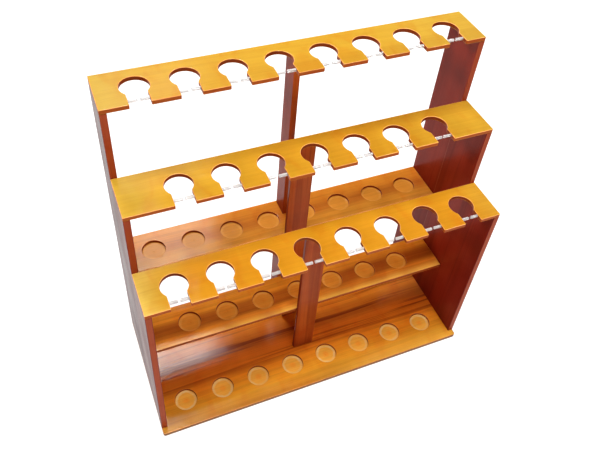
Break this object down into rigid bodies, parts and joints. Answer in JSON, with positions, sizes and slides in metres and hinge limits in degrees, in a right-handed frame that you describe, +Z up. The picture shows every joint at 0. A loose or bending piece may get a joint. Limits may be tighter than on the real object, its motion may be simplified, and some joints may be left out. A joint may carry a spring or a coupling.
{
  "type": "test tube rack",
  "caption": "Stepped varnished wooden tube rack: keyhole-slotted rails above shelves with round cups, a pair of soft nubs across each slot.",
  "frame": {"origin": "centre of the footprint, on the surface the rack stands on", "axes": "+X along the rows of tubes towards the right panel, -Y towards the low front tier, +Z up"},
  "size_m": [0.425, 0.1768, 0.4274],
  "materials": {
    "rail_wood": "amber gloss varnish",
    "shelf_wood": "orange gloss varnish",
    "panel_wood": "red-brown gloss varnish",
    "nub_silicone": "milky translucent silicone"
  },
  "bodies": {
    "rack": {"base_board": "shelf_wood", "left_side_panel": "panel_wood", "right_side_panel": "panel_wood", "front_slotted_rail": "rail_wood", "middle_slotted_rail": "rail_wood", "rear_slotted_rail": "rail_wood", "middle_cup_shelf": "shelf_wood", "rear_cup_shelf": "shelf_wood", "front_centre_post": "panel_wood", "middle_centre_post": "panel_wood", "middle_foot_post": "panel_wood", "rear_centre_post": "panel_wood", "rear_foot_post": "panel_wood"},
    "front_nub_1_left": {"front_nub_1_left": "nub_silicone"},
    "front_nub_1_right": {"front_nub_1_right": "nub_silicone"},
    "front_nub_2_left": {"front_nub_2_left": "nub_silicone"},
    "front_nub_2_right": {"front_nub_2_right": "nub_silicone"},
    "front_nub_3_left": {"front_nub_3_left": "nub_silicone"},
    "front_nub_3_right": {"front_nub_3_right": "nub_silicone"},
    "front_nub_4_left": {"front_nub_4_left": "nub_silicone"},
    "front_nub_4_right": {"front_nub_4_right": "nub_silicone"},
    "front_nub_5_left": {"front_nub_5_left": "nub_silicone"},
    "front_nub_5_right": {"front_nub_5_right": "nub_silicone"},
    "front_nub_6_left": {"front_nub_6_left": "nub_silicone"},
    "front_nub_6_right": {"front_nub_6_right": "nub_silicone"},
    "front_nub_7_left": {"front_nub_7_left": "nub_silicone"},
    "front_nub_7_right": {"front_nub_7_right": "nub_silicone"},
    "front_nub_8_left": {"front_nub_8_left": "nub_silicone"},
    "front_nub_8_right": {"front_nub_8_right": "nub_silicone"},
    "middle_nub_1_left": {"middle_nub_1_left": "nub_silicone"},
    "middle_nub_1_right": {"middle_nub_1_right": "nub_silicone"},
    "middle_nub_2_left": {"middle_nub_2_left": "nub_silicone"},
    "middle_nub_2_right": {"middle_nub_2_right": "nub_silicone"},
    "middle_nub_3_left": {"middle_nub_3_left": "nub_silicone"},
    "middle_nub_3_right": {"middle_nub_3_right": "nub_silicone"},
    "middle_nub_4_left": {"middle_nub_4_left": "nub_silicone"},
    "middle_nub_4_right": {"middle_nub_4_right": "nub_silicone"},
    "middle_nub_5_left": {"middle_nub_5_left": "nub_silicone"},
    "middle_nub_5_right": {"middle_nub_5_right": "nub_silicone"},
    "middle_nub_6_left": {"middle_nub_6_left": "nub_silicone"},
    "middle_nub_6_right": {"middle_nub_6_right": "nub_silicone"},
    "middle_nub_7_left": {"middle_nub_7_left": "nub_silicone"},
    "middle_nub_7_right": {"middle_nub_7_right": "nub_silicone"},
    "rear_nub_1_left": {"rear_nub_1_left": "nub_silicone"},
    "rear_nub_1_right": {"rear_nub_1_right": "nub_silicone"},
    "rear_nub_2_left": {"rear_nub_2_left": "nub_silicone"},
    "rear_nub_2_right": {"rear_nub_2_right": "nub_silicone"},
    "rear_nub_3_left": {"rear_nub_3_left": "nub_silicone"},
    "rear_nub_3_right": {"rear_nub_3_right": "nub_silicone"},
    "rear_nub_4_left": {"rear_nub_4_left": "nub_silicone"},
    "rear_nub_4_right": {"rear_nub_4_right": "nub_silicone"},
    "rear_nub_5_left": {"rear_nub_5_left": "nub_silicone"},
    "rear_nub_5_right": {"rear_nub_5_right": "nub_silicone"},
    "rear_nub_6_left": {"rear_nub_6_left": "nub_silicone"},
    "rear_nub_6_right": {"rear_nub_6_right": "nub_silicone"},
    "rear_nub_7_left": {"rear_nub_7_left": "nub_silicone"},
    "rear_nub_7_right": {"rear_nub_7_right": "nub_silicone"},
    "rear_nub_8_left": {"rear_nub_8_left": "nub_silicone"},
    "rear_nub_8_right": {"rear_nub_8_right": "nub_silicone"}
  },
  "joints": [
    {"name": "front_nub_1_left_bend", "type": "hinge", "parent": "rack", "child": "front_nub_1_left", "pos_m": [-0.1832, -0.07165, 0.2507], "axis": [0, 0, 1], "range_deg": [-70, 70], "stiffness_Nm_per_rad": 0.004},
    {"name": "front_nub_1_right_bend", "type": "hinge", "parent": "rack", "child": "front_nub_1_right", "pos_m": [-0.1662, -0.07165, 0.2507], "axis": [0, 0, -1], "range_deg": [-70, 70], "stiffness_Nm_per_rad": 0.004},
    {"name": "front_nub_2_left_bend", "type": "hinge", "parent": "rack", "child": "front_nub_2_left", "pos_m": [-0.1332, -0.07165, 0.2507], "axis": [0, 0, 1], "range_deg": [-70, 70], "stiffness_Nm_per_rad": 0.004},
    {"name": "front_nub_2_right_bend", "type": "hinge", "parent": "rack", "child": "front_nub_2_right", "pos_m": [-0.1162, -0.07165, 0.2507], "axis": [0, 0, -1], "range_deg": [-70, 70], "stiffness_Nm_per_rad": 0.004},
    {"name": "front_nub_3_left_bend", "type": "hinge", "parent": "rack", "child": "front_nub_3_left", "pos_m": [-0.0832, -0.07165, 0.2507], "axis": [0, 0, 1], "range_deg": [-70, 70], "stiffness_Nm_per_rad": 0.004},
    {"name": "front_nub_3_right_bend", "type": "hinge", "parent": "rack", "child": "front_nub_3_right", "pos_m": [-0.0662, -0.07165, 0.2507], "axis": [0, 0, -1], "range_deg": [-70, 70], "stiffness_Nm_per_rad": 0.004},
    {"name": "front_nub_4_left_bend", "type": "hinge", "parent": "rack", "child": "front_nub_4_left", "pos_m": [-0.0332, -0.07165, 0.2507], "axis": [0, 0, 1], "range_deg": [-70, 70], "stiffness_Nm_per_rad": 0.004},
    {"name": "front_nub_4_right_bend", "type": "hinge", "parent": "rack", "child": "front_nub_4_right", "pos_m": [-0.0162, -0.07165, 0.2507], "axis": [0, 0, -1], "range_deg": [-70, 70], "stiffness_Nm_per_rad": 0.004},
    {"name": "front_nub_5_left_bend", "type": "hinge", "parent": "rack", "child": "front_nub_5_left", "pos_m": [0.0168, -0.07165, 0.2507], "axis": [0, 0, 1], "range_deg": [-70, 70], "stiffness_Nm_per_rad": 0.004},
    {"name": "front_nub_5_right_bend", "type": "hinge", "parent": "rack", "child": "front_nub_5_right", "pos_m": [0.0338, -0.07165, 0.2507], "axis": [0, 0, -1], "range_deg": [-70, 70], "stiffness_Nm_per_rad": 0.004},
    {"name": "front_nub_6_left_bend", "type": "hinge", "parent": "rack", "child": "front_nub_6_left", "pos_m": [0.0668, -0.07165, 0.2507], "axis": [0, 0, 1], "range_deg": [-70, 70], "stiffness_Nm_per_rad": 0.004},
    {"name": "front_nub_6_right_bend", "type": "hinge", "parent": "rack", "child": "front_nub_6_right", "pos_m": [0.0838, -0.07165, 0.2507], "axis": [0, 0, -1], "range_deg": [-70, 70], "stiffness_Nm_per_rad": 0.004},
    {"name": "front_nub_7_left_bend", "type": "hinge", "parent": "rack", "child": "front_nub_7_left", "pos_m": [0.1168, -0.07165, 0.2507], "axis": [0, 0, 1], "range_deg": [-70, 70], "stiffness_Nm_per_rad": 0.004},
    {"name": "front_nub_7_right_bend", "type": "hinge", "parent": "rack", "child": "front_nub_7_right", "pos_m": [0.1338, -0.07165, 0.2507], "axis": [0, 0, -1], "range_deg": [-70, 70], "stiffness_Nm_per_rad": 0.004},
    {"name": "front_nub_8_left_bend", "type": "hinge", "parent": "rack", "child": "front_nub_8_left", "pos_m": [0.1668, -0.07165, 0.2507], "axis": [0, 0, 1], "range_deg": [-70, 70], "stiffness_Nm_per_rad": 0.004},
    {"name": "front_nub_8_right_bend", "type": "hinge", "parent": "rack", "child": "front_nub_8_right", "pos_m": [0.1838, -0.07165, 0.2507], "axis": [0, 0, -1], "range_deg": [-70, 70], "stiffness_Nm_per_rad": 0.004},
    {"name": "middle_nub_1_left_bend", "type": "hinge", "parent": "rack", "child": "middle_nub_1_left", "pos_m": [-0.1581, -0.01535, 0.3369], "axis": [0, 0, 1], "range_deg": [-70, 70], "stiffness_Nm_per_rad": 0.004},
    {"name": "middle_nub_1_right_bend", "type": "hinge", "parent": "rack", "child": "middle_nub_1_right", "pos_m": [-0.1411, -0.01535, 0.3369], "axis": [0, 0, -1], "range_deg": [-70, 70], "stiffness_Nm_per_rad": 0.004},
    {"name": "middle_nub_2_left_bend", "type": "hinge", "parent": "rack", "child": "middle_nub_2_left", "pos_m": [-0.1081, -0.01535, 0.3369], "axis": [0, 0, 1], "range_deg": [-70, 70], "stiffness_Nm_per_rad": 0.004},
    {"name": "middle_nub_2_right_bend", "type": "hinge", "parent": "rack", "child": "middle_nub_2_right", "pos_m": [-0.0911, -0.01535, 0.3369], "axis": [0, 0, -1], "range_deg": [-70, 70], "stiffness_Nm_per_rad": 0.004},
    {"name": "middle_nub_3_left_bend", "type": "hinge", "parent": "rack", "child": "middle_nub_3_left", "pos_m": [-0.0581, -0.01535, 0.3369], "axis": [0, 0, 1], "range_deg": [-70, 70], "stiffness_Nm_per_rad": 0.004},
    {"name": "middle_nub_3_right_bend", "type": "hinge", "parent": "rack", "child": "middle_nub_3_right", "pos_m": [-0.0411, -0.01535, 0.3369], "axis": [0, 0, -1], "range_deg": [-70, 70], "stiffness_Nm_per_rad": 0.004},
    {"name": "middle_nub_4_left_bend", "type": "hinge", "parent": "rack", "child": "middle_nub_4_left", "pos_m": [-0.0081, -0.01535, 0.3369], "axis": [0, 0, 1], "range_deg": [-70, 70], "stiffness_Nm_per_rad": 0.004},
    {"name": "middle_nub_4_right_bend", "type": "hinge", "parent": "rack", "child": "middle_nub_4_right", "pos_m": [0.0089, -0.01535, 0.3369], "axis": [0, 0, -1], "range_deg": [-70, 70], "stiffness_Nm_per_rad": 0.004},
    {"name": "middle_nub_5_left_bend", "type": "hinge", "parent": "rack", "child": "middle_nub_5_left", "pos_m": [0.0419, -0.01535, 0.3369], "axis": [0, 0, 1], "range_deg": [-70, 70], "stiffness_Nm_per_rad": 0.004},
    {"name": "middle_nub_5_right_bend", "type": "hinge", "parent": "rack", "child": "middle_nub_5_right", "pos_m": [0.0589, -0.01535, 0.3369], "axis": [0, 0, -1], "range_deg": [-70, 70], "stiffness_Nm_per_rad": 0.004},
    {"name": "middle_nub_6_left_bend", "type": "hinge", "parent": "rack", "child": "middle_nub_6_left", "pos_m": [0.0919, -0.01535, 0.3369], "axis": [0, 0, 1], "range_deg": [-70, 70], "stiffness_Nm_per_rad": 0.004},
    {"name": "middle_nub_6_right_bend", "type": "hinge", "parent": "rack", "child": "middle_nub_6_right", "pos_m": [0.1089, -0.01535, 0.3369], "axis": [0, 0, -1], "range_deg": [-70, 70], "stiffness_Nm_per_rad": 0.004},
    {"name": "middle_nub_7_left_bend", "type": "hinge", "parent": "rack", "child": "middle_nub_7_left", "pos_m": [0.1419, -0.01535, 0.3369], "axis": [0, 0, 1], "range_deg": [-70, 70], "stiffness_Nm_per_rad": 0.004},
    {"name": "middle_nub_7_right_bend", "type": "hinge", "parent": "rack", "child": "middle_nub_7_right", "pos_m": [0.1589, -0.01535, 0.3369], "axis": [0, 0, -1], "range_deg": [-70, 70], "stiffness_Nm_per_rad": 0.004},
    {"name": "rear_nub_1_left_bend", "type": "hinge", "parent": "rack", "child": "rear_nub_1_left", "pos_m": [-0.1816, 0.04095, 0.4249], "axis": [0, 0, 1], "range_deg": [-70, 70], "stiffness_Nm_per_rad": 0.004},
    {"name": "rear_nub_1_right_bend", "type": "hinge", "parent": "rack", "child": "rear_nub_1_right", "pos_m": [-0.1646, 0.04095, 0.4249], "axis": [0, 0, -1], "range_deg": [-70, 70], "stiffness_Nm_per_rad": 0.004},
    {"name": "rear_nub_2_left_bend", "type": "hinge", "parent": "rack", "child": "rear_nub_2_left", "pos_m": [-0.1316, 0.04095, 0.4249], "axis": [0, 0, 1], "range_deg": [-70, 70], "stiffness_Nm_per_rad": 0.004},
    {"name": "rear_nub_2_right_bend", "type": "hinge", "parent": "rack", "child": "rear_nub_2_right", "pos_m": [-0.1146, 0.04095, 0.4249], "axis": [0, 0, -1], "range_deg": [-70, 70], "stiffness_Nm_per_rad": 0.004},
    {"name": "rear_nub_3_left_bend", "type": "hinge", "parent": "rack", "child": "rear_nub_3_left", "pos_m": [-0.0816, 0.04095, 0.4249], "axis": [0, 0, 1], "range_deg": [-70, 70], "stiffness_Nm_per_rad": 0.004},
    {"name": "rear_nub_3_right_bend", "type": "hinge", "parent": "rack", "child": "rear_nub_3_right", "pos_m": [-0.0646, 0.04095, 0.4249], "axis": [0, 0, -1], "range_deg": [-70, 70], "stiffness_Nm_per_rad": 0.004},
    {"name": "rear_nub_4_left_bend", "type": "hinge", "parent": "rack", "child": "rear_nub_4_left", "pos_m": [-0.0316, 0.04095, 0.4249], "axis": [0, 0, 1], "range_deg": [-70, 70], "stiffness_Nm_per_rad": 0.004},
    {"name": "rear_nub_4_right_bend", "type": "hinge", "parent": "rack", "child": "rear_nub_4_right", "pos_m": [-0.0146, 0.04095, 0.4249], "axis": [0, 0, -1], "range_deg": [-70, 70], "stiffness_Nm_per_rad": 0.004},
    {"name": "rear_nub_5_left_bend", "type": "hinge", "parent": "rack", "child": "rear_nub_5_left", "pos_m": [0.0184, 0.04095, 0.4249], "axis": [0, 0, 1], "range_deg": [-70, 70], "stiffness_Nm_per_rad": 0.004},
    {"name": "rear_nub_5_right_bend", "type": "hinge", "parent": "rack", "child": "rear_nub_5_right", "pos_m": [0.0354, 0.04095, 0.4249], "axis": [0, 0, -1], "range_deg": [-70, 70], "stiffness_Nm_per_rad": 0.004},
    {"name": "rear_nub_6_left_bend", "type": "hinge", "parent": "rack", "child": "rear_nub_6_left", "pos_m": [0.0684, 0.04095, 0.4249], "axis": [0, 0, 1], "range_deg": [-70, 70], "stiffness_Nm_per_rad": 0.004},
    {"name": "rear_nub_6_right_bend", "type": "hinge", "parent": "rack", "child": "rear_nub_6_right", "pos_m": [0.0854, 0.04095, 0.4249], "axis": [0, 0, -1], "range_deg": [-70, 70], "stiffness_Nm_per_rad": 0.004},
    {"name": "rear_nub_7_left_bend", "type": "hinge", "parent": "rack", "child": "rear_nub_7_left", "pos_m": [0.1184, 0.04095, 0.4249], "axis": [0, 0, 1], "range_deg": [-70, 70], "stiffness_Nm_per_rad": 0.004},
    {"name": "rear_nub_7_right_bend", "type": "hinge", "parent": "rack", "child": "rear_nub_7_right", "pos_m": [0.1354, 0.04095, 0.4249], "axis": [0, 0, -1], "range_deg": [-70, 70], "stiffness_Nm_per_rad": 0.004},
    {"name": "rear_nub_8_left_bend", "type": "hinge", "parent": "rack", "child": "rear_nub_8_left", "pos_m": [0.1684, 0.04095, 0.4249], "axis": [0, 0, 1], "range_deg": [-70, 70], "stiffness_Nm_per_rad": 0.004},
    {"name": "rear_nub_8_right_bend", "type": "hinge", "parent": "rack", "child": "rear_nub_8_right", "pos_m": [0.1854, 0.04095, 0.4249], "axis": [0, 0, -1], "range_deg": [-70, 70], "stiffness_Nm_per_rad": 0.004}
  ]
}
